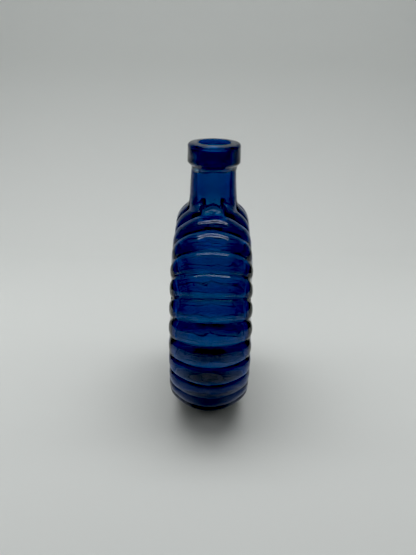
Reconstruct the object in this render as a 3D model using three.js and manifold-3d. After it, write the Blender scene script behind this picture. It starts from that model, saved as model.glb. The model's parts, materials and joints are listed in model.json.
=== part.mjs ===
// A moon flask in cobalt glass: a round, flattened body with ribs that run out from a plain raised panel on
// each face, over the rim and in again, a round neck, and a lip laid on as a second gather of glass.
// Millimetres. The faces look along -Y and +Y, the disc stands in the X-Z plane, and z = 0 is the resting face.
import * as THREE from 'three';
import Module from 'manifold-3d';
import { mergeVertices } from 'three/addons/utils/BufferGeometryUtils.js';

// ---- the disc-shaped body
const DISC_RADIUS = 63.0;            // middle of the disc to the top of a rib on the rim
const DISC_THICKNESS = 43.7;         // over the ribs of both faces
const RIB_COUNT = 30;
const RIB_DEPTH = 2.5;               // top of a rib to the bottom of a groove
const PANEL_RIB_DEPTH = 1.3;         // the same, where the ribs start at the panel
const RIM_FLATTENING = 5.3;          // how much larger the rim's arc is than a half round
const RIM_CORNER = 8.0;              // radius where the rim turns into the face
const SHOULDER_DRAW_IN = 2.1;        // how far each face leans in below the neck
const DRAW_IN_START = 30.0;          // height over the disc's middle where that starts
const PANEL_RADIUS = 23.0;
const PANEL_RISE = 2.9;              // the panel's face over the bottoms of the grooves
const PANEL_EDGE = 1.0;              // rounding of the panel's edge
const FACE_WALL = 3.1;               // glass under the grooves of a face
const RIM_WALL = 3.0;                // glass under the grooves of the rim

// ---- the base
const BASE_CUT = 2.8;                // how much of the disc the resting face takes off
const BASE_WALL = 7.0;               // glass under the hollow
const FOOT_HALF_LENGTH = 22.0;
const FOOT_HALF_WIDTH = 13.0;
const FOOT_HEIGHT = 3.5;
const FOOT_ROUNDING = 1.2;
const KICK_HALF_LENGTH = 13.0;       // the shallow hollow under the foot
const KICK_HALF_WIDTH = 6.5;
const KICK_DEPTH = 1.2;

// ---- the neck
const NECK_RISE = 30.5;              // the mouth over the top of the disc
const BORE_RADIUS = 8.85;
const NECK_WALL = 3.25;              // at the top of the neck
const NECK_SPREAD = 1.3;             // how much wider the neck's outside is at its root
const NECK_FILLET = 7.5;             // the flare that the neck takes along the rim

// ---- the laid-on lip
const LIP_HEIGHT = 12.4;
const LIP_PROUD = 2.5;               // the lip's side over the neck's top
const LIP_COVER = 2.2;               // glass over the sheared end of the neck
const LIP_FLAT = 1.9;                // the flat ring round the mouth
const LIP_DROP = 2.9;                // height of the rounding outside that ring
const LIP_BEVEL_HEIGHT = 2.2;        // the bevel under the lip's side
const LIP_BEVEL_DEPTH = 1.7;
const MOUTH_EDGE = 0.5;              // rounding of the mouth's edge
const SKIRT_HEIGHT = 2.3;            // the thin skirt where the lip's glass runs onto the neck
const SKIRT_THICKNESS = 0.6;
const FUSE_GAP = 0.3;                // clearance that stands for the fused joint

// ---- how finely the curves are divided
const STEPS_PER_RIB = 4;
const CAVITY_STEPS = 60;
const ROUND_STEPS = 48;
const ARC_STEPS = 4;

// ---- sizes that follow from the driving ones
const CENTRE_Z = DISC_RADIUS - BASE_CUT;
const MOUTH_Z = CENTRE_Z + DISC_RADIUS + NECK_RISE;
const GROOVE_RADIUS = DISC_RADIUS - RIB_DEPTH;
const GROOVE_HALF = DISC_THICKNESS / 2 - RIB_DEPTH;
const NECK_TOP_RADIUS = BORE_RADIUS + NECK_WALL;
const NECK_ROOT_RADIUS = NECK_TOP_RADIUS + NECK_SPREAD;
const SHEARED_Z = MOUTH_Z - LIP_COVER;
const LIP_BOTTOM_Z = MOUTH_Z - LIP_HEIGHT;
const SKIRT_BOTTOM_Z = LIP_BOTTOM_Z - SKIRT_HEIGHT;
const LIP_RADIUS = NECK_TOP_RADIUS + LIP_PROUD;

const wasm = await Module();
wasm.setup();

// ---- from three.js geometry to a solid and back

function solidOf(geometry) {
  const bare = geometry.clone();
  bare.deleteAttribute('normal');
  bare.deleteAttribute('uv');
  const merged = mergeVertices(bare, 1e-4);
  return new wasm.Manifold(new wasm.Mesh({
    numProp: 3,
    vertProperties: new Float32Array(merged.attributes.position.array),
    triVerts: new Uint32Array(merged.index.array),
  }));
}

function geometryOf(solid) {
  const mesh = solid.getMesh();
  const geometry = new THREE.BufferGeometry();
  geometry.setAttribute('position', new THREE.BufferAttribute(new Float32Array(mesh.vertProperties), 3));
  geometry.setIndex(new THREE.BufferAttribute(new Uint32Array(mesh.triVerts), 1));
  geometry.computeVertexNormals();
  return geometry;
}

// A closed skin over rows of points, each row a ring, with one point capping each end.
function skin(firstCap, rings, lastCap) {
  const around = rings[0].length;
  const points = [firstCap, ...rings.flat(), lastCap];
  const last = points.length - 1;
  const at = (row, i) => 1 + row * around + (i % around);
  const triangles = [];
  for (let i = 0; i < around; i++) {
    triangles.push(0, at(0, i), at(0, i + 1));
    for (let row = 0; row + 1 < rings.length; row++) {
      triangles.push(at(row, i), at(row + 1, i), at(row + 1, i + 1));
      triangles.push(at(row, i), at(row + 1, i + 1), at(row, i + 1));
    }
    triangles.push(last, at(rings.length - 1, i + 1), at(rings.length - 1, i));
  }
  const geometry = new THREE.BufferGeometry();
  geometry.setAttribute('position', new THREE.Float32BufferAttribute(points.flat(), 3));
  geometry.setIndex(triangles);
  return geometry;
}

// ---- the disc

// Half of the disc's section, from the face out to the middle of the rim: two arcs that meet smoothly.
// Each point has its radius r, its half thickness y and the outward direction there.
function rimHalfSection(radius, half, corner) {
  const arc = half + RIM_FLATTENING;
  const arcMiddle = radius - arc;
  const cornerY = half - corner;
  const cornerMiddle = arcMiddle + Math.sqrt((arc - corner) ** 2 - cornerY ** 2);
  const meet = Math.atan2(cornerY, cornerMiddle - arcMiddle);
  const points = [];
  for (let i = 0; i <= ARC_STEPS; i++) {
    const angle = Math.PI / 2 + (meet - Math.PI / 2) * (i / ARC_STEPS);
    points.push(arcPoint(cornerMiddle, cornerY, corner, angle));
  }
  for (let i = 1; i <= ARC_STEPS; i++) {
    points.push(arcPoint(arcMiddle, 0, arc, meet * (1 - i / ARC_STEPS)));
  }
  return points;
}

function arcPoint(middleR, middleY, radius, angle) {
  const out = [Math.cos(angle), Math.sin(angle)];
  return { r: middleR + radius * out[0], y: middleY + radius * out[1], out, lift: RIB_DEPTH };
}

// The ribs are round-backed and meet in sharp grooves; there is a groove on each side of the top.
function ribRelief(turn) {
  const across = (turn * RIB_COUNT) / (2 * Math.PI) + 0.5;
  const t = 2 * (across - Math.floor(across)) - 1;
  return Math.sqrt(Math.max(0, 1 - t * t));
}

// The faces lean in towards the neck.
function drawIn(z, half) {
  const span = DISC_RADIUS - DRAW_IN_START;
  const t = THREE.MathUtils.clamp((z - DRAW_IN_START) / span, 0, 1);
  return (half - SHOULDER_DRAW_IN * t * t * (3 - 2 * t)) / half;
}

function discGeometry(halfSection, faceY, steps, ribbed) {
  const mirrored = halfSection.slice(0, -1).reverse();
  const rows = [
    ...halfSection.map((p) => ({ ...p, side: -1 })),
    ...mirrored.map((p) => ({ ...p, side: 1 })),
  ];
  const half = Math.max(...halfSection.map((p) => p.y));
  const rings = rows.map((p) => {
    const ring = [];
    for (let i = 0; i < steps; i++) {
      const turn = Math.PI / 2 + (2 * Math.PI * i) / steps;
      const raise = ribbed ? p.lift * ribRelief(turn - Math.PI / 2) : 0;
      const r = p.r + raise * p.out[0];
      const z = r * Math.sin(turn);
      const y = p.side * (p.y + raise * p.out[1]) * drawIn(z, half);
      ring.push([r * Math.cos(turn), y, CENTRE_Z + z]);
    }
    return ring;
  });
  return skin([0, -faceY, CENTRE_Z], rings, [0, faceY, CENTRE_Z]);
}

function ribbedDisc() {
  const rim = rimHalfSection(GROOVE_RADIUS, GROOVE_HALF, RIM_CORNER);
  const panelY = GROOVE_HALF + PANEL_RISE;
  const flat = [0, 1];
  const panel = [
    { r: PANEL_RADIUS - PANEL_EDGE, y: panelY, out: flat, lift: 0 },
    { r: PANEL_RADIUS, y: panelY - PANEL_EDGE, out: flat, lift: 0 },
    { r: PANEL_RADIUS + PANEL_EDGE, y: GROOVE_HALF, out: flat, lift: PANEL_RIB_DEPTH },
  ];
  return solidOf(discGeometry([...panel, ...rim], panelY, RIB_COUNT * STEPS_PER_RIB, true));
}

function cavity() {
  const half = GROOVE_HALF - FACE_WALL;
  const section = rimHalfSection(GROOVE_RADIUS - RIM_WALL, half, RIM_CORNER / 2);
  const hollow = solidOf(discGeometry(section, half, CAVITY_STEPS, false));
  return hollow.subtract(belowPlane(BASE_WALL));
}

// ---- the neck and the foot are stacks of oval rings

function ovalStack(levels) {
  const rings = levels.map(({ z, rx, ry }) => {
    const ring = [];
    for (let i = 0; i < ROUND_STEPS; i++) {
      const turn = (-2 * Math.PI * i) / ROUND_STEPS;
      ring.push([rx * Math.cos(turn), ry * Math.sin(turn), z]);
    }
    return ring;
  });
  const cap = (level) => [0, 0, level.z];
  return solidOf(skin(cap(levels[0]), rings, cap(levels[levels.length - 1])));
}

function neckOutside() {
  const rootX = NECK_ROOT_RADIUS + NECK_FILLET;
  const rootZ = CENTRE_Z + Math.sqrt(GROOVE_RADIUS ** 2 - rootX ** 2);
  const levels = [{ z: rootZ - 2 * NECK_FILLET, rx: rootX, ry: NECK_ROOT_RADIUS }];
  for (let i = 0; i <= ARC_STEPS; i++) {
    const angle = (Math.PI / 2) * (i / ARC_STEPS);
    const flare = NECK_FILLET * (1 - Math.sin(angle));
    const z = rootZ + NECK_FILLET * (1 - Math.cos(angle));
    levels.push({ z, rx: NECK_ROOT_RADIUS + flare, ry: NECK_ROOT_RADIUS });
  }
  levels.push({ z: SKIRT_BOTTOM_Z, rx: NECK_TOP_RADIUS, ry: NECK_TOP_RADIUS });
  levels.push({ z: SHEARED_Z, rx: NECK_TOP_RADIUS, ry: NECK_TOP_RADIUS });
  return ovalStack(levels);
}

function foot() {
  return ovalStack([
    { z: 0, rx: FOOT_HALF_LENGTH - FOOT_ROUNDING, ry: FOOT_HALF_WIDTH - FOOT_ROUNDING },
    { z: FOOT_ROUNDING / 3, rx: FOOT_HALF_LENGTH - FOOT_ROUNDING / 3, ry: FOOT_HALF_WIDTH - FOOT_ROUNDING / 3 },
    { z: FOOT_ROUNDING, rx: FOOT_HALF_LENGTH, ry: FOOT_HALF_WIDTH },
    { z: FOOT_HEIGHT, rx: FOOT_HALF_LENGTH, ry: FOOT_HALF_WIDTH },
  ]);
}

function kick() {
  const dome = new THREE.SphereGeometry(1, 24, 12);
  dome.scale(KICK_HALF_LENGTH, KICK_HALF_WIDTH, KICK_DEPTH);
  return solidOf(dome);
}

function belowPlane(z) {
  const depth = 2 * DISC_RADIUS;
  const block = new THREE.BoxGeometry(4 * DISC_RADIUS, 4 * DISC_RADIUS, depth);
  block.translate(0, 0, z - depth / 2);
  return solidOf(block);
}

function bore() {
  const bottom = CENTRE_Z + GROOVE_RADIUS / 2;
  const height = MOUTH_Z + LIP_COVER - bottom;
  const round = new THREE.CylinderGeometry(BORE_RADIUS, BORE_RADIUS, height, ROUND_STEPS);
  round.rotateX(Math.PI / 2);
  round.translate(0, 0, bottom + height / 2);
  return solidOf(round);
}

function blownBody() {
  const outside = ribbedDisc().add(neckOutside()).add(foot()).subtract(belowPlane(0));
  return geometryOf(outside.subtract(cavity()).subtract(bore()).subtract(kick()));
}

// ---- the lip: one closed outline turned round the neck

function quarter(points, middleR, middleZ, halfWidth, halfHeight, from, to) {
  for (let i = 0; i <= ARC_STEPS; i++) {
    const angle = from + (to - from) * (i / ARC_STEPS);
    points.push([middleR + halfWidth * Math.cos(angle), middleZ + halfHeight * Math.sin(angle)]);
  }
}

function appliedLip() {
  const inside = NECK_TOP_RADIUS + FUSE_GAP;
  const seatZ = SHEARED_Z + FUSE_GAP;
  const flatEdge = BORE_RADIUS + MOUTH_EDGE + LIP_FLAT;
  const outline = [[inside, seatZ], [inside, SKIRT_BOTTOM_Z], [inside + SKIRT_THICKNESS, SKIRT_BOTTOM_Z]];
  outline.push([inside + SKIRT_THICKNESS, LIP_BOTTOM_Z]);
  outline.push([LIP_RADIUS - LIP_BEVEL_DEPTH, LIP_BOTTOM_Z], [LIP_RADIUS, LIP_BOTTOM_Z + LIP_BEVEL_HEIGHT]);
  quarter(outline, flatEdge, MOUTH_Z - LIP_DROP, LIP_RADIUS - flatEdge, LIP_DROP, 0, Math.PI / 2);
  const edge = BORE_RADIUS + MOUTH_EDGE;
  quarter(outline, edge, MOUTH_Z - MOUTH_EDGE, MOUTH_EDGE, MOUTH_EDGE, Math.PI / 2, Math.PI);
  outline.push([BORE_RADIUS, seatZ]);
  outline.push(outline[0]);
  const turned = new THREE.LatheGeometry(outline.map(([r, z]) => new THREE.Vector2(r, z)), ROUND_STEPS);
  turned.rotateX(Math.PI / 2);
  return geometryOf(solidOf(turned));
}

// ---- the two pieces of glass

function piece(name, geometry, colour, roughness) {
  const material = new THREE.MeshStandardMaterial({ color: colour, roughness, metalness: 0 });
  const mesh = new THREE.Mesh(geometry, material);
  mesh.name = name;
  return mesh;
}

const flask = new THREE.Group();
flask.add(piece('blown_body', blownBody(), 0x0b3f8c, 0.08));
flask.add(piece('applied_lip', appliedLip(), 0x14236b, 0.12));

export default flask;
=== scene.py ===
# %% [markdown]
# # A cobalt moon flask
# The flask is two pieces of hot-worked glass. The body was blown into a two-part mould: a round, flattened
# disc with 30 ribs that run from a plain raised panel on each face, out over the rim and in again, with a
# round neck on top and a small oval foot. The lip was laid on afterwards as a second gather of glass and
# tooled round. Clear glass shows every surface twice, so the whole lesson is about making both skins of the
# wall true and smooth, and about letting the blue come from the thickness of the glass.
#
# The first step loads the measured frame. Nothing here moves it: it gives the box that the looks must fill.

# %% Load the frame and measure its box
import json
import math

import bmesh
import bpy
import numpy as np
from mathutils import Euler, Matrix, Vector
from mathutils.bvhtree import BVHTree

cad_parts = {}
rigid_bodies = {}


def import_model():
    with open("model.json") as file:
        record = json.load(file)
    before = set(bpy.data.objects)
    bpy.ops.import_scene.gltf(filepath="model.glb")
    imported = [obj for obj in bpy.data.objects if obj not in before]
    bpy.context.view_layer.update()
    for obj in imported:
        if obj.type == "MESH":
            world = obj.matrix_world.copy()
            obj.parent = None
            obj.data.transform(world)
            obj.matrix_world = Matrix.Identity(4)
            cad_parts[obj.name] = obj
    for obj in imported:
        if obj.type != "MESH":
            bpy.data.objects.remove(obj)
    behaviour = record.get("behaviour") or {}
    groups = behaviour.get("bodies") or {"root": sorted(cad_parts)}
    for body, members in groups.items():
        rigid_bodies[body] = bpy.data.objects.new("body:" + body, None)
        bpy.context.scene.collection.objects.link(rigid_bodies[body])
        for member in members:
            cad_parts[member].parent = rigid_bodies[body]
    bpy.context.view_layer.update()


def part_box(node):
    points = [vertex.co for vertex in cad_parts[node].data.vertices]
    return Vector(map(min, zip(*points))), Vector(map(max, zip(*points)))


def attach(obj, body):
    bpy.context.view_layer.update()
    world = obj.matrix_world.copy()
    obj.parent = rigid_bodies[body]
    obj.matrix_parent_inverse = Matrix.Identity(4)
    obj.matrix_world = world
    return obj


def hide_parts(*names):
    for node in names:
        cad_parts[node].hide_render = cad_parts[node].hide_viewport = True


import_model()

_, body_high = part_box("blown_body")
_, lip_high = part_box("applied_lip")

# %% [markdown]
# ## The sizes
# A maker writes the sizes down once. They are in millimetres, because that is how glass is measured, and
# each mesh is scaled to metres as it is made. The mouth is read from the frame, so the lip can't drift from
# it there, and the frame's reach of the disc is printed beside the sizes.

# %% Sizes of the flask
MM = 0.001
MOUTH_Z = lip_high.z / MM
DISC_RADIUS = 63.0
CENTRE_Z = 60.2
RIB_COUNT = 30
RIB_DEPTH = 2.5
GROOVE_RADIUS = DISC_RADIUS - RIB_DEPTH
GROOVE_HALF = 19.35                # middle of the wall to the bottom of a face's grooves
RIM_FLATTENING = 5.3
RIM_CORNER = 8.0
PANEL_RADIUS = 23.0
PANEL_RISE = 2.9
PANEL_RIB_DEPTH = 1.3
SHOULDER_DRAW_IN = 2.1
DRAW_IN_START = 30.0
FACE_WALL = 1.4                    # glass under the grooves of a face
RIM_WALL = 1.5                     # glass under the grooves of the rim
BASE_WALL = 7.0
BORE_RADIUS = 8.85
NECK_TOP_RADIUS = 12.1
NECK_ROOT_RADIUS = 13.4
SHEARED_Z = MOUTH_Z - 2.2          # where the neck was sheared off, inside the lip
print("mouth at", round(MOUTH_Z, 2), "mm; the disc reaches", round(body_high.x / MM, 2), "mm from its middle")

# %% [markdown]
# ## Hand-made waves
# Old mould glass is never flat: it carries slow hills and dales, a few hundredths of a millimetre high, that
# bend the view through it. They could be a noise texture on a Displace modifier. A sum of a few sine waves in
# fixed random directions is simpler to control, is the same on every run, and works on any point in space, so
# two skins that touch get the same wave.

# %% A field of slow waves
def wave_field(seed, shortest, longest, count=14):
    """Smooth hills of about unit height; wavelengths in millimetres."""
    draw = np.random.default_rng(seed)
    direction = draw.normal(size=(count, 3))
    direction /= np.linalg.norm(direction, axis=1)[:, None]
    pull = direction * (2 * math.pi / draw.uniform(shortest, longest, count))[:, None]
    phase = draw.uniform(0, 2 * math.pi, count)

    def hills(points):
        return np.sin(points @ pull.T + phase).sum(axis=1) * math.sqrt(2 / count)

    return hills


slow_waves = wave_field(11, 22, 60)
short_waves = wave_field(12, 6, 14)
inner_waves = wave_field(13, 9, 30)


def smooth_step(value, low, high):
    t = np.clip((value - low) / (high - low), 0, 1)
    return t * t * (3 - 2 * t)


print("waves ready; a sample hill:", round(float(slow_waves(np.zeros((1, 3)))[0]), 3))

# %% [markdown]
# ## The section of the disc
# Cut across its rim, the disc shows a flat face, a tight corner and a wide, slightly flattened arc over the
# rim. Two arcs that meet smoothly give that line. Each row keeps its outward direction, because the ribs
# stand out along it.

# %% Rows from a face to the middle of the rim
def rim_rows(radius, half, corner, face_from, steps, seam_rows=()):
    """Rows of (r, y, out_r, out_y): along the face, round the corner, then over the rim to its middle."""
    arc = half + RIM_FLATTENING
    arc_middle = radius - arc
    corner_y = half - corner
    corner_middle = arc_middle + math.sqrt((arc - corner) ** 2 - corner_y**2)
    meet = math.atan2(corner_y, corner_middle - arc_middle)
    on_face, on_corner, on_rim = steps
    rows = [(r, half, 0.0, 1.0) for r in np.linspace(face_from, corner_middle, on_face, endpoint=False)]
    for angle in np.linspace(math.pi / 2, meet, on_corner, endpoint=False):
        c, s = math.cos(angle), math.sin(angle)
        rows.append((corner_middle + corner * c, corner_y + corner * s, c, s))
    last = max(seam_rows, default=0.0) / arc
    angles = list(np.linspace(meet, last, on_rim, endpoint=False)) + [y / arc for y in seam_rows] + [0.0]
    rows += [(arc_middle + arc * math.cos(a), arc * math.sin(a), math.cos(a), math.sin(a)) for a in angles]
    return np.array(rows)


SEAM_ROWS = (2.1, 1.6, 1.15, 0.85, 0.6, 0.42, 0.28, 0.14)
rim = rim_rows(GROOVE_RADIUS, GROOVE_HALF, RIM_CORNER, PANEL_RADIUS + 1.8, (17, 12, 25), SEAM_ROWS)
print("half section:", len(rim), "rows, rim at", round(rim[-1][0], 2), "mm")

# %% [markdown]
# ## Ribs
# The ribs are round-backed, and where two meet the mould left a narrow groove. A half ellipse over each rib
# would give a round back. The power here is a little over 2, which makes the back broader and its ends
# steeper. A little is taken off those ends, because glass never fills a mould's sharpest corner. The columns
# of the mesh crowd together at the grooves, where the light turns fastest.

# %% The back of one rib, and the columns round the disc
COLUMNS_PER_RIB = 20
GROOVE_SOFTNESS = 0.1
RIB_POWER = 2.4                    # 2 is a half ellipse; more is squarer


def rib_back(across, soft=GROOVE_SOFTNESS):
    """Height of a rib from 0 in the groove to 1 on its back; across runs from -1 to 1."""
    return (np.sqrt(1 - np.abs(across) ** RIB_POWER + soft**2) - soft) / (math.sqrt(1 + soft**2) - soft)


def disc_turns(per_rib, crowding):
    """Angles round the disc that land on every groove and crowd towards it, and where each lies on its rib."""
    even = np.linspace(-1, 1, per_rib, endpoint=False)
    across = (1 - crowding) * even + crowding * np.sin(even * math.pi / 2)
    rib = np.arange(RIB_COUNT)[:, None]
    turns = math.pi / 2 + (rib + across[None, :] / 2) * (2 * math.pi / RIB_COUNT)
    return turns.ravel(), np.tile(across, RIB_COUNT)


outer_turns, outer_across = disc_turns(COLUMNS_PER_RIB, 0.55)
print(len(outer_turns), "columns round the disc, one on each of", RIB_COUNT, "grooves")

# %% [markdown]
# ## Both skins of the disc
# A skin is a grid: rows across the section, columns round the disc, one point closing each face. The outer
# skin carries the panel, the full ribs and the mould's seam. The inner skin was never touched by the mould,
# so it shows hardly a trace of the ribs: the glass is thin under a groove and thick behind a rib. Both lean
# in towards the neck.

# %% Grid of a skin
def draw_in(z, half):
    """How much narrower the disc is near the neck."""
    return (half - SHOULDER_DRAW_IN * smooth_step(z, DRAW_IN_START, DISC_RADIUS)) / half


def skin_points(rows, lifts, turns, relief, half, seam=0.0):
    """Points in millimetres, rows x columns x 3, for both halves of the section, and their outward directions."""
    whole = np.vstack([rows, rows[-2::-1]])
    lift = np.concatenate([lifts, lifts[-2::-1]])
    side = np.where(np.arange(len(whole)) < len(rows), -1.0, 1.0)
    r, y, out_r, out_y = (whole[:, i][:, None] for i in range(4))
    raised = lift[:, None] * relief[None, :]
    groove = 1 - relief[None, :]
    raised = raised + seam * (0.25 + 2.0 * groove) * np.exp(-((y / 0.8) ** 2)) * (r > PANEL_RADIUS)
    radius = r + raised * out_r
    z = radius * np.sin(turns)
    x = radius * np.cos(turns)
    depth = side[:, None] * (y + raised * out_y) * draw_in(z, half)
    points = np.stack([x, depth, z + CENTRE_Z], axis=2)
    outward = np.stack(
        [out_r * np.cos(turns), (side[:, None] * out_y) * np.ones_like(turns), out_r * np.sin(turns)], axis=2
    )
    return points, outward


def grid_faces(row_count, column_count):
    """Quads between neighbouring rows of rings, and triangles to one closing point beyond each end."""
    at = np.arange(row_count * column_count).reshape(row_count, column_count)
    ahead = np.roll(at, -1, axis=1)
    quads = np.stack([at[:-1], ahead[:-1], ahead[1:], at[1:]], axis=2).reshape(-1, 4)
    first, last = at.size, at.size + 1
    caps = [(first, int(b), int(a)) for a, b in zip(at[0], ahead[0])]
    caps += [(last, int(a), int(b)) for a, b in zip(at[-1], ahead[-1])]
    return quads, caps


print("draw-in at the top of the disc:", round(float(draw_in(np.array(DISC_RADIUS), GROOVE_HALF)), 3))

# %% The outer skin
panel_r = np.array([2.5, 6.0, 10.0, 14.0, 17.5, 20.0, 21.3, 21.9, 22.4, 22.8, 23.2, 23.6, 24.0, 24.4])
panel_y = GROOVE_HALF + PANEL_RISE * (1 - smooth_step(panel_r, 21.4, 24.5))
panel_rows = np.stack([panel_r, panel_y, 0 * panel_r, 0 * panel_r + 1], axis=1)
outer_rows = np.vstack([panel_rows, rim])
outer_lifts = PANEL_RIB_DEPTH + (RIB_DEPTH - PANEL_RIB_DEPTH) * smooth_step(outer_rows[:, 0], 25, 38)
outer_lifts = outer_lifts * smooth_step(outer_rows[:, 0], 22.6, 25.6)

outer_points, outer_out = skin_points(
    outer_rows, outer_lifts, outer_turns, rib_back(outer_across), GROOVE_HALF, seam=0.26
)
flat = outer_points.reshape(-1, 3)
outer_wave = 0.07 * slow_waves(flat) + 0.05 * short_waves(flat)
outer_points = (flat + outer_wave[:, None] * outer_out.reshape(-1, 3)).reshape(outer_points.shape)
outer_quads, outer_caps = grid_faces(*outer_points.shape[:2])
panel_face = GROOVE_HALF + PANEL_RISE
outer_poles = np.array([[0, -panel_face, CENTRE_Z], [0, panel_face, CENTRE_Z]])
outer_all = np.vstack([outer_points.reshape(-1, 3), outer_poles])
print("outer skin:", len(outer_all), "points,", len(outer_quads), "quads")

# %% The inner skin
inner_half = GROOVE_HALF - FACE_WALL
inner_rim = rim_rows(GROOVE_RADIUS - RIM_WALL, inner_half, RIM_CORNER - 1.0, 4.0, (22, 14, 22))
inner_turns, inner_across = disc_turns(COLUMNS_PER_RIB, 0.3)
inner_relief = rib_back(inner_across, 0.6)
INNER_ECHO = 0.1                   # how far the ribs still show on the inner skin
inner_lifts = INNER_ECHO * smooth_step(inner_rim[:, 0], 26, 46)
inner_points, inner_out = skin_points(inner_rim, inner_lifts, inner_turns, inner_relief, inner_half)
flat = inner_points.reshape(-1, 3)
flat = flat + (0.03 * inner_waves(flat))[:, None] * inner_out.reshape(-1, 3)


def soft_floor(z, floor, blend):
    """z where it is well over the floor, the floor below it, and a round turn between them."""
    gap = z - floor
    return floor + (gap + np.sqrt(gap**2 + blend**2)) / 2


flat[:, 2] = soft_floor(flat[:, 2], BASE_WALL, 2.4)
inner_points = flat.reshape(inner_points.shape)
inner_quads, inner_caps = grid_faces(*inner_points.shape[:2])
inner_poles = np.array([[0, -inner_half, CENTRE_Z], [0, inner_half, CENTRE_Z]])
inner_all = np.vstack([inner_points.reshape(-1, 3), inner_poles])
print("inner skin:", len(inner_all), "points, floor of the hollow at", round(float(inner_all[:, 2].min()), 2), "mm")

# %% [markdown]
# ## Growing a tube out of a ribbed skin
# The neck runs into the shoulder with a soft flare, the bore runs into the hollow, and the foot stands under
# the rim. A boolean would leave a hard, ragged joint that clear glass shows at once. Instead the skin is
# opened along an oval, the edge of the opening is pulled onto that oval, and new rings grow from it, so the
# glass flows without a seam. A curve that leaves the skin along its slope and arrives straight up the tube
# makes the flare.

# %% Open a skin along an oval
def open_oval(points, quads, half_x, half_y, up):
    """Take out the quads inside an oval at the top or the foot; give the rest and the edge as one loop."""
    centres = points[quads].mean(axis=1)
    inside = (centres[:, 0] / half_x) ** 2 + (centres[:, 1] / half_y) ** 2 < 1
    inside &= (centres[:, 2] > CENTRE_Z) == up
    kept = quads[~inside]
    edge_after = {}
    removed_edges = set()
    for quad in quads[inside]:
        for a, b in zip(quad, np.roll(quad, -1)):
            removed_edges.add((int(a), int(b)))
    for a, b in removed_edges:
        if (b, a) not in removed_edges:
            edge_after[a] = b
    start = min(edge_after)
    loop = [start]
    while edge_after[loop[-1]] != start:
        loop.append(edge_after[loop[-1]])
    if len(loop) != len(edge_after):
        raise ValueError("the opening has more than one edge loop")
    return kept, np.array(loop)


def settle_edge(points, quads, kept, loop, half_x, half_y, up, near=2.2):
    """Pull the loop onto the oval, even it out, and ease the points beside it, all on the skin."""
    surface = BVHTree.FromPolygons([Vector(p) for p in points], [list(map(int, q)) for q in quads])
    turn = np.unwrap(np.arctan2(points[loop, 1] / half_y, points[loop, 0] / half_x))
    whole = 2 * math.pi * np.sign(turn[-1] - turn[0])
    for _ in range(12):
        before = np.concatenate([[turn[-1] - whole], turn[:-1]])
        after = np.concatenate([turn[1:], [turn[0] + whole]])
        turn = 0.5 * turn + 0.25 * (before + after)
    flat_place = points[:, :2].copy()
    flat_place[loop, 0] = half_x * np.cos(turn)
    flat_place[loop, 1] = half_y * np.sin(turn)
    reach = np.sqrt((points[:, 0] / half_x) ** 2 + (points[:, 1] / half_y) ** 2)
    beyond = (reach - 1) * min(half_x, half_y)
    own_side = (points[:, 2] > CENTRE_Z) == up
    band = set(np.where(own_side & (beyond < near))[0].tolist()) & set(kept.ravel().tolist())
    band -= set(loop.tolist())
    neighbours = {}
    for quad in kept:
        for a, b in zip(quad, np.roll(quad, -1)):
            if int(a) in band:
                neighbours.setdefault(int(a), set()).add(int(b))
            if int(b) in band:
                neighbours.setdefault(int(b), set()).add(int(a))
    for _ in range(6):
        moved = {i: flat_place[list(n)].mean(axis=0) for i, n in neighbours.items()}
        for i, place in moved.items():
            share = 0.6 * max(0.0, 1 - max(0.0, beyond[i]) / near)
            flat_place[i] += share * (place - flat_place[i])
    down = Vector((0, 0, -1 if up else 1))
    start_z = CENTRE_Z + (200 if up else -200)
    for i in list(band) + loop.tolist():
        hit = surface.ray_cast(Vector((flat_place[i][0], flat_place[i][1], start_z)), down)[0]
        if hit is not None:
            points[i] = hit
    return surface, turn


print("the tube helpers are ready")

# %% Grow rings from the edge
def skin_slope(surface, place, inward, up):
    """Unit direction along the skin at a point of the edge, heading towards the middle of the opening."""
    start_z = CENTRE_Z + (200 if up else -200)
    down = Vector((0, 0, -1 if up else 1))
    ahead = place[:2] + 0.8 * inward
    back = place[:2] - 0.8 * inward
    hit_a = surface.ray_cast(Vector((ahead[0], ahead[1], start_z)), down)[0]
    hit_b = surface.ray_cast(Vector((back[0], back[1], start_z)), down)[0]
    slope = np.array(hit_a - hit_b)
    return slope / np.linalg.norm(slope)


def flare_rings(points, loop, turn, surface, radius_x, radius_y, arrive_z, up, count, pull=1.15):
    """Rings on curves that leave along the skin and arrive straight along the tube; the first ring is the loop."""
    edge = points[loop]
    goal = np.stack([radius_x * np.cos(turn), radius_y * np.sin(turn), 0 * turn + arrive_z], axis=1)
    leave = np.zeros_like(edge)
    for i, place in enumerate(edge):
        inward = goal[i, :2] - place[:2]
        inward = inward / max(1e-6, np.linalg.norm(inward))
        leave[i] = skin_slope(surface, place, inward, up)
    for _ in range(6):
        leave = 0.5 * leave + 0.25 * (np.roll(leave, 1, axis=0) + np.roll(leave, -1, axis=0))
    span_flat = np.linalg.norm(goal[:, :2] - edge[:, :2], axis=1)[:, None]
    span_up = np.abs(goal[:, 2] - edge[:, 2])[:, None]
    arrive = np.array([0, 0, 1.0 if up else -1.0])
    rings = []
    for t in np.linspace(0, 1, count + 1)[1:]:
        a, b = 2 * t**3 - 3 * t**2 + 1, t**3 - 2 * t**2 + t
        c, d = -2 * t**3 + 3 * t**2, t**3 - t**2
        rings.append(a * edge + b * leave * span_flat * pull * 1.6 + c * goal + d * arrive * span_up * pull * 1.6)
    return rings


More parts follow.
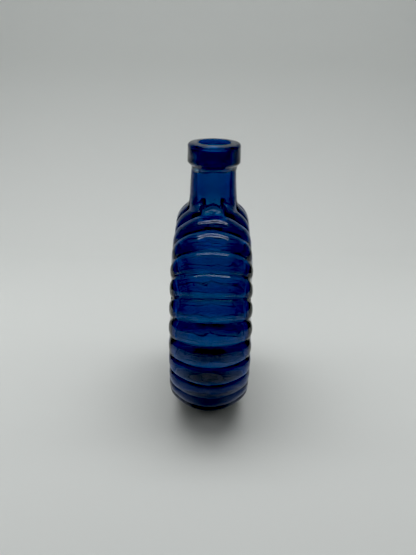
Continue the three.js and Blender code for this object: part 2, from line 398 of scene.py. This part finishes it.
class Shell:
    """Collects points, quads and triangles of one closed glass surface."""

    def __init__(self, points, quads, caps):
        self.points = [points]
        self.count = len(points)
        self.faces = [list(map(int, q)) for q in quads] + [list(c) for c in caps]

    def add_ring(self, ring):
        ids = np.arange(self.count, self.count + len(ring))
        self.points.append(np.asarray(ring, float))
        self.count += len(ring)
        return ids

    def join(self, lower, upper):
        """Quads from a ring to the next, following the opening's own direction."""
        ahead_l, ahead_u = np.roll(lower, -1), np.roll(upper, -1)
        for a, b, c, d in zip(lower, ahead_l, ahead_u, upper):
            self.faces.append([int(a), int(b), int(c), int(d)])

    def grow(self, start, rings):
        ids = start
        for ring in rings:
            following = self.add_ring(ring)
            self.join(ids, following)
            ids = following
        return ids

    def close_with_point(self, ring_ids, place):
        tip = int(self.add_ring([place])[0])
        for a, b in zip(ring_ids, np.roll(ring_ids, -1)):
            self.faces.append([int(a), int(b), tip])

    def all_points(self):
        return np.vstack(self.points)


print("a shell joins a skin and its tubes into one closed surface")

# %% [markdown]
# ## Neck and foot of the outer skin
# The neck leaves the shoulder with a flare that is wide along the rim and short across it, then narrows
# slowly to the lip. The mould's seam fades as it climbs. The foot is a low oval step with a rounded edge and
# a shallow hollow under it, which is what keeps a flask from rocking.

# %% Neck, outside
NECK_OVAL = (NECK_ROOT_RADIUS + 7.0, NECK_ROOT_RADIUS + 1.9)
NECK_START_Z = 124.2
FOOT_OVAL = (22.6, 13.6)

outer_kept, neck_loop = open_oval(outer_all, outer_quads, *NECK_OVAL, up=True)
outer_surface, neck_turn = settle_edge(outer_all, outer_quads, outer_kept, neck_loop, *NECK_OVAL, up=True)
outer_kept, foot_loop = open_oval(outer_all, outer_kept, *FOOT_OVAL, up=False)
settle_edge(outer_all, outer_quads, outer_kept, foot_loop, *FOOT_OVAL, up=False, near=1.4)
print("neck loop:", len(neck_loop), "points; foot loop:", len(foot_loop), "points")


def even_turn(turn, share):
    """The loop's angles, moved towards even spacing."""
    even = turn[0] + np.sign(turn[-1] - turn[0]) * np.arange(len(turn)) * 2 * math.pi / len(turn)
    even = even + (turn - even).mean()
    return turn + share * (even - turn)


body = Shell(outer_all, outer_kept, outer_caps)
root_radius = NECK_ROOT_RADIUS - 0.25
flare = flare_rings(outer_all, neck_loop, neck_turn, outer_surface, root_radius, root_radius,
                    NECK_START_Z, True, 14)
ring_ids = body.grow(neck_loop, flare)
neck_rings = []
neck_levels = list(np.linspace(NECK_START_Z, SHEARED_Z - 0.9, 34))[1:]
for i, z in enumerate(neck_levels):
    climb = (z - NECK_START_Z) / (SHEARED_Z - NECK_START_Z)
    angle = even_turn(neck_turn, min(1.0, i / 12))
    radius = root_radius + (NECK_TOP_RADIUS - root_radius) * smooth_step(climb, -0.25, 0.75)
    seam = 0.12 * (1 - smooth_step(climb, 0.1, 0.75)) * np.exp(-((np.sin(angle) * radius / 0.45) ** 2))
    ring = np.stack([radius * np.cos(angle), radius * np.sin(angle), 0 * angle + z], axis=1)
    wave = 0.09 * slow_waves(ring * [1, 1, 0.5]) + 0.03 * short_waves(ring)
    fade = smooth_step(climb, 0.0, 0.12) * (1 - smooth_step(climb, 0.85, 1.0))
    push = radius + seam + wave * fade
    ring = np.stack([push * np.cos(angle), push * np.sin(angle), 0 * angle + z], axis=1)
    neck_rings.append(ring)
ring_ids = body.grow(ring_ids, neck_rings)
print("neck:", len(neck_rings) + len(flare), "rings of", len(neck_loop))

# %% Foot, outside
def oval_ring(turn, half_x, half_y, z):
    return np.stack([half_x * np.cos(turn), half_y * np.sin(turn), 0 * turn + z], axis=1)


foot_edge = outer_all[foot_loop]
foot_turn = np.unwrap(np.arctan2(foot_edge[:, 1] / FOOT_OVAL[1], foot_edge[:, 0] / FOOT_OVAL[0]))
foot_rings = []
for share in (0.3, 0.6, 0.85, 1.0):
    wall = oval_ring(foot_turn, 22.0, 13.0, 1.25)
    foot_rings.append(foot_edge + (wall - foot_edge) * np.array([smooth_step(share, -0.6, 1.0)] * 2 + [share]))
for angle in np.radians([15, 30, 45, 60, 75, 90]):
    inset = 1.25 * (1 - math.cos(angle))
    drop = 1.25 * (1 - math.sin(angle))
    foot_rings.append(oval_ring(foot_turn, 22.0 - inset, 13.0 - inset, drop))
for share in (0.35, 0.7, 1.0):
    foot_rings.append(oval_ring(foot_turn, 20.75 - 6.5 * share, 11.75 - 4.2 * share, 0.0))
for share in np.linspace(0, 1, 9)[1:-1]:
    half_x, half_y = 14.25 * (1 - share), 7.55 * (1 - share)
    foot_rings.append(oval_ring(foot_turn, half_x, half_y, 1.2 * float(smooth_step(share, 0.0, 1.0)) + 0.0))
ring_ids = body.grow(foot_loop, foot_rings)
body.close_with_point(ring_ids, [0, 0, 1.2])
print("foot:", len(foot_rings), "rings, resting face at z = 0")

# %% [markdown]
# ## The bore and the hollow
# The hollow is the same construction turned inside out. Its bore opens softly into the shoulder. Both skins
# end at the sheared top of the neck, where a flat ring joins them; the lip covers that ring.

# %% Bore
BORE_OVAL = (BORE_RADIUS + 9.5, BORE_RADIUS + 4.6)
BORE_START_Z = 129.0
inner_kept, bore_loop = open_oval(inner_all, inner_quads, *BORE_OVAL, up=True)
inner_surface, bore_turn = settle_edge(inner_all, inner_quads, inner_kept, bore_loop, *BORE_OVAL, up=True, near=3.0)
hollow = Shell(inner_all, inner_kept, inner_caps)
bore_flare = flare_rings(inner_all, bore_loop, bore_turn, inner_surface, BORE_RADIUS + 0.35, BORE_RADIUS + 0.35,
                         BORE_START_Z, True, 10)
ring_ids = hollow.grow(bore_loop, bore_flare)
bore_rings = []
for i, z in enumerate(list(np.linspace(BORE_START_Z, SHEARED_Z - 1.0, 26))[1:]):
    climb = (z - BORE_START_Z) / (SHEARED_Z - BORE_START_Z)
    angle = even_turn(bore_turn, min(1.0, i / 8))
    radius = BORE_RADIUS + 0.35 * (1 - smooth_step(climb, 0, 0.8))
    ring = oval_ring(angle, radius, radius, z)
    fade = (1 - smooth_step(climb, 0.75, 1.0)) * smooth_step(climb, 0, 0.1)
    wave = 0.12 * inner_waves(ring * [1, 1, 0.35]) * fade
    bore_rings.append(oval_ring(angle, 1, 1, 0) * (radius + wave)[:, None] + [0, 0, z])
bore_rings.append(oval_ring(angle, BORE_RADIUS, BORE_RADIUS, SHEARED_Z - 0.55))
bore_rings.append(oval_ring(angle, BORE_RADIUS + 0.12, BORE_RADIUS + 0.12, SHEARED_Z - 0.2))
bore_rings.append(oval_ring(angle, BORE_RADIUS + 0.45, BORE_RADIUS + 0.45, SHEARED_Z))
hollow.grow(ring_ids, bore_rings)
print("bore loop:", len(bore_loop), "points; bore radius at the top", BORE_RADIUS, "mm")

# %% [markdown]
# ## Seeds
# Little bubbles, called seeds, stayed in the glass. A seed is a tiny hollow inside the wall, so its surface
# faces the air in it: a small ball with its faces turned inwards, stretched along the way the glass was
# drawn. They are modelled, not painted, because a real hollow bends the light by itself.

# %% Make the seeds
SEED_STRETCH = 1.7                 # length of a seed over its width


def seed_ball(place, stretch, size, rings=8, around=14):
    """An inward-facing ball, longer along `stretch`."""
    ball = bmesh.new()
    bmesh.ops.create_uvsphere(ball, u_segments=around, v_segments=rings, radius=1.0)
    turn = Vector((0, 0, 1)).rotation_difference(Vector(stretch)).to_matrix()
    drawn = Vector((size, size, size * SEED_STRETCH))
    points = [np.array(turn @ (v.co * drawn)) + place for v in ball.verts]
    faces = [[v.index for v in f.verts][::-1] for f in ball.faces]
    ball.free()
    return np.array(points), faces


draw = np.random.default_rng(31)
seeds = []
SEED_COUNT = 26
for _ in range(SEED_COUNT):
    turn = draw.uniform(0, 2 * math.pi)
    size = 0.14 + 0.26 * draw.random() ** 2
    depth = GROOVE_RADIUS - draw.uniform(0.5, 0.95)
    lean = draw.uniform(-0.4, 0.4)
    arc = GROOVE_HALF + RIM_FLATTENING
    inner = arc - (GROOVE_RADIUS - depth)
    r = (GROOVE_RADIUS - arc) + inner * math.cos(lean)
    place = np.array([r * math.cos(turn), inner * math.sin(lean), CENTRE_Z + r * math.sin(turn)])
    if place[2] > 112 or place[2] < 9:
        continue
    seeds.append((place, (-math.sin(turn), 0, math.cos(turn)), size))
for turn_degrees, across, size in ((30.9, -8.3, 0.62), (28.4, 9.2, 0.4), (17.0, -6.0, 0.25), (45.0, 2.5, 0.22)):
    turn = math.radians(turn_degrees)
    arc = GROOVE_HALF + RIM_FLATTENING
    r = (GROOVE_RADIUS - arc) + math.sqrt((arc - 0.4) ** 2 - across**2)
    place = np.array([r * math.cos(turn), across, CENTRE_Z + r * math.sin(turn)])
    seeds.append((place, (-math.sin(turn), 0.2, math.cos(turn)), size))
print(len(seeds), "seeds between", round(min(s[2] for s in seeds), 2), "and", max(s[2] for s in seeds), "mm")

# %% [markdown]
# ## One closed body
# The outer skin, the hollow turned to face its air, and the seeds become one mesh. The two neck tops have
# different counts of points, so Blender's bridge fills the sheared ring between them. A check counts open
# edges, since glass with a hole in it renders wrong.

# %% Join the skins
def glass_object(name, points, faces):
    mesh = bpy.data.meshes.new(name)
    mesh.from_pydata([tuple(p) for p in np.asarray(points) * MM], [], faces)
    mesh.validate()
    made = bpy.data.objects.new(name, mesh)
    bpy.context.scene.collection.objects.link(made)
    return made


def shade_smooth(made):
    made.data.polygons.foreach_set("use_smooth", np.ones(len(made.data.polygons), bool))
    made.data.update()


outer_count = body.count
all_points = np.vstack([body.all_points(), hollow.all_points()])
all_faces = body.faces + [[i + outer_count for i in face][::-1] for face in hollow.faces]
flask_body = glass_object("flask_body", all_points, all_faces)

work = bmesh.new()
work.from_mesh(flask_body.data)
loose = [v for v in work.verts if not v.link_faces]
bmesh.ops.delete(work, geom=loose, context="VERTS")
open_edges = [e for e in work.edges if e.is_boundary]
bmesh.ops.bridge_loops(work, edges=open_edges)
bmesh.ops.recalc_face_normals(work, faces=work.faces)
for place, stretch, size in seeds:
    points, faces = seed_ball(place, stretch, size)
    fresh = [work.verts.new(p * MM) for p in points]
    for face in faces:
        work.faces.new([fresh[i] for i in face])
print("open or doubled edges left in the body:", sum(not e.is_manifold for e in work.edges))
print("volume with normals as they are:", round(work.calc_volume() * 1e6, 1), "cm3")
work.to_mesh(flask_body.data)
work.free()
shade_smooth(flask_body)

# %% [markdown]
# ## The laid-on lip
# A thread of hot glass was wound on the sheared neck and squeezed with a lipping tool: a flat, slightly dull
# ring round the mouth, a rounded top edge, a straight side, a bevel under it, and a thin skirt that ran
# down the neck and stopped in uneven drips. It is a turned outline whose line wanders as it goes round.
# It sinks two tenths of a millimetre into the neck, because fused glass has no air between its layers.

# %% Outline of the lip
FUSE = 0.2
LIP_RADIUS = 14.6
LIP_BOTTOM = MOUTH_Z - 12.4


def arc_points(middle_r, middle_z, wide, high, start, stop, count):
    angle = np.radians(np.linspace(start, stop, count))
    return [(middle_r + wide * math.cos(a), middle_z + high * math.sin(a)) for a in angle]


def lip_outline():
    """(radius, height) from the bore, over the mouth and down the outside, then back up inside the glass."""
    line = [(BORE_RADIUS + 0.25, SHEARED_Z - 0.42), (BORE_RADIUS, SHEARED_Z - 0.2)]
    line += [(BORE_RADIUS, SHEARED_Z + 0.4), (BORE_RADIUS, SHEARED_Z + 1.0)]
    line += arc_points(BORE_RADIUS + 0.7, MOUTH_Z - 0.7, 0.7, 0.7, 180, 90, 8)
    line += [(BORE_RADIUS + 1.2, MOUTH_Z), (BORE_RADIUS + 2.0, MOUTH_Z - 0.03), (12.1, MOUTH_Z - 0.12)]
    line += arc_points(LIP_RADIUS - 2.0, MOUTH_Z - 2.05, 2.0, 1.85, 84, 3, 16)
    line += [(LIP_RADIUS, z) for z in np.linspace(MOUTH_Z - 2.6, LIP_BOTTOM + 3.4, 11)]
    line += arc_points(LIP_RADIUS - 1.6, LIP_BOTTOM + 2.2, 1.6, 1.5, 0, -55, 7)
    line += [(LIP_RADIUS - 1.15, LIP_BOTTOM + 0.45), (LIP_RADIUS - 1.6, LIP_BOTTOM + 0.1)]
    line += [(13.0 - 0.12, LIP_BOTTOM - 0.35), (13.0 - 0.28, LIP_BOTTOM - 0.8), (13.0 - 0.36, LIP_BOTTOM - 1.3)]
    line += [(12.58, LIP_BOTTOM - 1.75), (12.42, LIP_BOTTOM - 2.1), (12.16, LIP_BOTTOM - 2.3)]
    line += [(NECK_TOP_RADIUS - FUSE - 0.05, LIP_BOTTOM - 2.25)]
    line += [(NECK_TOP_RADIUS - FUSE, z) for z in np.linspace(LIP_BOTTOM - 1.2, SHEARED_Z - FUSE - 0.3, 8)]
    line += [(NECK_TOP_RADIUS - FUSE - 0.3, SHEARED_Z - FUSE), (BORE_RADIUS + 1.2, SHEARED_Z - FUSE)]
    return np.array(line)


lip_line = lip_outline()
print("lip outline:", len(lip_line), "points,", round(float(lip_line[:, 0].max()), 2), "mm at its widest")

# %% Turn the lip, letting its line wander
LIP_AROUND = 216


def wander(angle, waves):
    """A closed wavy line: (count round the ring, height, shift) for each wave."""
    return sum(height * np.sin(count * angle + shift) for count, height, shift in waves)


def turn_lip():
    angles = np.arange(LIP_AROUND) * 2 * math.pi / LIP_AROUND
    swell = wander(angles, ((2, 0.10, 0.6), (3, 0.07, 2.1), (5, 0.03, 4.0)))
    sag = wander(angles, ((2, 0.16, 1.1), (3, 0.12, 5.2), (7, 0.05, 0.4)))
    drips = wander(angles, ((3, 0.45, 0.3), (5, 0.35, 2.6), (8, 0.22, 1.0), (13, 0.10, 3.3)))
    points = []
    outside = lip_line[:, 0] > NECK_TOP_RADIUS + 0.02
    for (r, z), free in zip(lip_line, outside):
        low = float(smooth_step(-z, -(LIP_BOTTOM + 6.0), -(LIP_BOTTOM + 0.8))) if free or z < LIP_BOTTOM else 0.0
        skirt = float(smooth_step(-z, -(LIP_BOTTOM + 0.6), -(LIP_BOTTOM - 2.0)))
        side = float(smooth_step(r, 11.5, 14.2))
        ring_r = r + side * swell * 0.8
        ring_z = z + low * side * sag + skirt * drips
        ring = np.stack([ring_r * np.cos(angles), ring_r * np.sin(angles), ring_z], axis=1)
        if side > 0:
            ring_wave = 0.05 * short_waves(ring) * side
            ring[:, 0] += ring_wave * np.cos(angles)
            ring[:, 1] += ring_wave * np.sin(angles)
        if z > MOUTH_Z - 0.5:
            ring[:, 2] -= 0.05 * (1 + np.sin(2 * angles + 0.8)) * float(smooth_step(r, 9.4, 10.6))
        points.append(ring)
    count = len(points)
    at = np.arange(count * LIP_AROUND).reshape(count, LIP_AROUND)
    below = np.roll(at, -1, axis=0)
    faces = np.stack([at, below, np.roll(below, -1, axis=1), np.roll(at, -1, axis=1)], axis=2).reshape(-1, 4)
    return np.vstack(points), [list(map(int, f)) for f in faces]


lip_points, lip_faces = turn_lip()
laid_on_lip = glass_object("laid_on_lip", lip_points, lip_faces)
work = bmesh.new()
work.from_mesh(laid_on_lip.data)
bmesh.ops.recalc_face_normals(work, faces=work.faces)
print("lip volume:", round(work.calc_volume() * 1e6, 2), "cm3")
print("open edges in the lip:", sum(not e.is_manifold for e in work.edges))
work.to_mesh(laid_on_lip.data)
work.free()
shade_smooth(laid_on_lip)

# %% [markdown]
# ## Cobalt glass
# Cobalt glass is coloured right through. Painting it blue would make every part the same blue, so the
# surface is left clear and the colour comes from a Volume Absorption: red is lost in the first millimetre,
# green fades next, and blue lasts longest. A thin wall is then azure, two walls are royal blue, and a thick
# base is navy, as on the real flask. The surface itself gets fine orange-peel bump and patches of wear.

# %% A glass material
def cobalt(name, loss_per_mm, rough_low, rough_high, bump_height, wear_scale):
    """Clear, glossy surface with uneven polish over glass that absorbs red, green and blue per millimetre."""
    material = bpy.data.materials.new(name)
    material.use_nodes = True
    nodes, links = material.node_tree.nodes, material.node_tree.links
    nodes.clear()
    out = nodes.new("ShaderNodeOutputMaterial")
    gloss = nodes.new("ShaderNodeBsdfPrincipled")
    gloss.inputs["Base Color"].default_value = (1, 1, 1, 1)
    gloss.inputs["Transmission Weight"].default_value = 1.0
    gloss.inputs["IOR"].default_value = 1.52
    absorb = nodes.new("ShaderNodeVolumeAbsorption")
    strongest = max(loss_per_mm)
    keep = [1 - loss / strongest for loss in loss_per_mm]
    absorb.inputs["Color"].default_value = (*keep, 1)
    absorb.inputs["Density"].default_value = strongest / MM
    links.new(absorb.outputs["Volume"], out.inputs["Volume"])
    links.new(gloss.outputs["BSDF"], out.inputs["Surface"])

    place = nodes.new("ShaderNodeTexCoord")
    patches = nodes.new("ShaderNodeTexNoise")
    patches.inputs["Scale"].default_value = wear_scale
    patches.inputs["Detail"].default_value = 5
    polish = nodes.new("ShaderNodeMapRange")
    polish.inputs["From Min"].default_value = 0.35
    polish.inputs["From Max"].default_value = 0.72
    polish.inputs["To Min"].default_value = rough_low
    polish.inputs["To Max"].default_value = rough_high
    links.new(place.outputs["Object"], patches.inputs["Vector"])
    links.new(patches.outputs["Fac"], polish.inputs["Value"])
    links.new(polish.outputs["Result"], gloss.inputs["Roughness"])

    peel = nodes.new("ShaderNodeTexNoise")
    peel.inputs["Scale"].default_value = 420
    peel.inputs["Detail"].default_value = 3
    bump = nodes.new("ShaderNodeBump")
    bump.inputs["Strength"].default_value = 0.35
    bump.inputs["Distance"].default_value = bump_height * MM
    stretch = nodes.new("ShaderNodeMapping")
    stretch.inputs["Scale"].default_value = (1.0, 0.3, 1.0)
    links.new(place.outputs["Object"], stretch.inputs["Vector"])
    links.new(stretch.outputs["Vector"], peel.inputs["Vector"])
    links.new(peel.outputs["Fac"], bump.inputs["Height"])
    links.new(bump.outputs["Normal"], gloss.inputs["Normal"])
    return material


cobalt_glass = cobalt("cobalt_glass", (1.4, 0.385, 0.20), rough_low=0.0, rough_high=0.025,
                      bump_height=0.035, wear_scale=160)
lip_glass = cobalt("lip_glass", (1.3, 0.45, 0.22), rough_low=0.02, rough_high=0.10,
                   bump_height=0.06, wear_scale=260)
flask_body.data.materials.append(cobalt_glass)
laid_on_lip.data.materials.append(lip_glass)
print("two glasses:", cobalt_glass.name, lip_glass.name)

# %% Tie both pieces to the frame
for piece, node, slot in ((flask_body, "blown_body", "cobalt_glass"), (laid_on_lip, "applied_lip", "lip_glass")):
    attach(piece, "root")
    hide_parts(node)
    print(piece.name, "stands for", node, "and rides on root")

# %% [markdown]
# ## Where the flask stands
# The flask stands on a plain pale sheet that curves up behind it, as in a small light box. The sweep is one
# extruded curve. A broad soft ceiling lights the sheet. Two narrow strips over and a little behind the flask
# make the paired soft lines on each rib, a card on each side lights the ends of the ribs, and a dim, wide
# panel stands for the room's own ceiling. The side towards the viewer stays dim, which keeps the edges of the
# glass dark. The soft ceiling and the cards are hidden from reflections only, because mirrored in the glass
# they would lay a pale veil over its colour.

# %% The sweep
def sweep(floor_from, bend_at, bend_radius, height, half_width):
    line = [(floor_from, 0.0), (bend_at + bend_radius, 0.0)]
    line += [
        (bend_at + bend_radius - bend_radius * math.sin(a), bend_radius - bend_radius * math.cos(a))
        for a in np.radians(np.linspace(0, 90, 25))[1:]
    ]
    line.append((bend_at, height))
    points = [(x, y, z) for x, z in line for y in (-half_width, half_width)]
    faces = [(2 * i, 2 * i + 1, 2 * i + 3, 2 * i + 2) for i in range(len(line) - 1)]
    mesh = bpy.data.meshes.new("sweep")
    mesh.from_pydata(points, [], faces)
    made = bpy.data.objects.new("sweep", mesh)
    bpy.context.scene.collection.objects.link(made)
    made.data.polygons.foreach_set("use_smooth", [True] * len(faces))
    return made


backdrop = sweep(floor_from=1.6, bend_at=-0.42, bend_radius=0.16, height=1.4, half_width=1.6)
paper = bpy.data.materials.new("pale_paper")
paper.use_nodes = True
paper_shader = paper.node_tree.nodes["Principled BSDF"]
paper_shader.inputs["Base Color"].default_value = (0.70, 0.715, 0.69, 1)
paper_shader.inputs["Roughness"].default_value = 0.75
paper_shader.inputs["Specular IOR Level"].default_value = 0.25
backdrop.data.materials.append(paper)
print("sweep of", len(backdrop.data.polygons), "strips")

# %% Lights
COOL_WHITE = (0.93, 0.95, 1.0)


def area_light(name, place, aim, size_x, size_y, power, colour=(1, 1, 1)):
    lamp = bpy.data.lights.new(name, "AREA")
    lamp.shape = "RECTANGLE"
    lamp.size, lamp.size_y = size_x, size_y
    lamp.energy = power
    lamp.color = colour
    made = bpy.data.objects.new(name, lamp)
    made.location = place
    direction = Vector(aim) - Vector(place)
    made.rotation_euler = direction.to_track_quat("-Z", "Y").to_euler()
    bpy.context.scene.collection.objects.link(made)
    return made


for side in (-1, 1):
    card = area_light(f"side_card_{side}", (-0.04, 0.45 * side, 0.13), (0, 0, 0.07), 0.16, 0.36, 0.42)
    card.visible_glossy = False
area_light("room_ceiling", (0.1, 0, 1.3), (0.1, 0, 0), 2.2, 2.2, 2.2)
area_light("strip_near", (-0.02, 0, 0.62), (-0.02, 0, 0), 0.045, 0.62, 0.36, COOL_WHITE)
area_light("strip_far", (-0.15, 0, 0.62), (-0.15, 0, 0), 0.045, 0.62, 0.44, COOL_WHITE)
ceiling = area_light("ceiling", (-0.15, -0.08, 0.80), (-0.15, -0.08, 0), 1.0, 1.0, 1.7)
ceiling.data.spread = math.radians(98)
ceiling.visible_glossy = False

world = bpy.data.worlds.new("dim_room")
bpy.context.scene.world = world
world.use_nodes = True
world.node_tree.nodes["Background"].inputs["Color"].default_value = (0.9, 0.95, 1.0, 1)
world.node_tree.nodes["Background"].inputs["Strength"].default_value = 0.15

# %% [markdown]
# ## The viewpoint
# The flask is seen edge on, from a little above, with a moderately long lens. The camera is placed from the
# size of the flask: 45 cm from the middle of the disc, about 22 degrees up.

# %% Camera
VIEW_PLACE = (0.4162, 0, 0.2308)
LOOKS_DOWN = 20.49                 # this and the next two in degrees
HEADING = 90.27
ROLL = 1.2
lens = bpy.data.cameras.new("viewpoint")
lens.sensor_fit = "VERTICAL"
lens.sensor_height = 36
lens.lens = 49.95
lens.clip_start, lens.clip_end = 0.01, 20
camera = bpy.data.objects.new("viewpoint", lens)
bpy.context.scene.collection.objects.link(camera)
tilt = Euler((math.radians(90 - LOOKS_DOWN), 0, math.radians(HEADING)), "XYZ").to_matrix()
roll = Matrix.Rotation(math.radians(ROLL), 3, "Z")
camera.matrix_world = Matrix.Translation(VIEW_PLACE) @ (tilt @ roll).to_4x4()
bpy.context.scene.camera = camera
print("camera", [round(v, 4) for v in camera.location], "looks down", LOOKS_DOWN, "degrees")

# %% [markdown]
# ## Light paths and tone
# A ray crosses four skins of glass and bounces inside them, so paths are long. Cutting them short would leave
# black patches. The black level takes off the last faint veil of reflections, as a print with deep blacks
# does. It belongs to the picture, not to the glass, and an exported model doesn't have it.

# %% Light paths and tone
BLACK_LEVEL = 0.021
scene = bpy.context.scene
scene.view_settings.view_transform = "Standard"
tone = scene.view_settings.curve_mapping
scene.view_settings.use_curve_mapping = True
tone.black_level = (BLACK_LEVEL, BLACK_LEVEL, BLACK_LEVEL)
tone.update()
scene.cycles.max_bounces = 24
scene.cycles.transmission_bounces = 24
scene.cycles.glossy_bounces = 8
scene.cycles.diffuse_bounces = 3
scene.cycles.volume_bounces = 0
scene.cycles.caustics_reflective = False
scene.cycles.caustics_refractive = False
print("paths of up to", scene.cycles.max_bounces, "bounces")
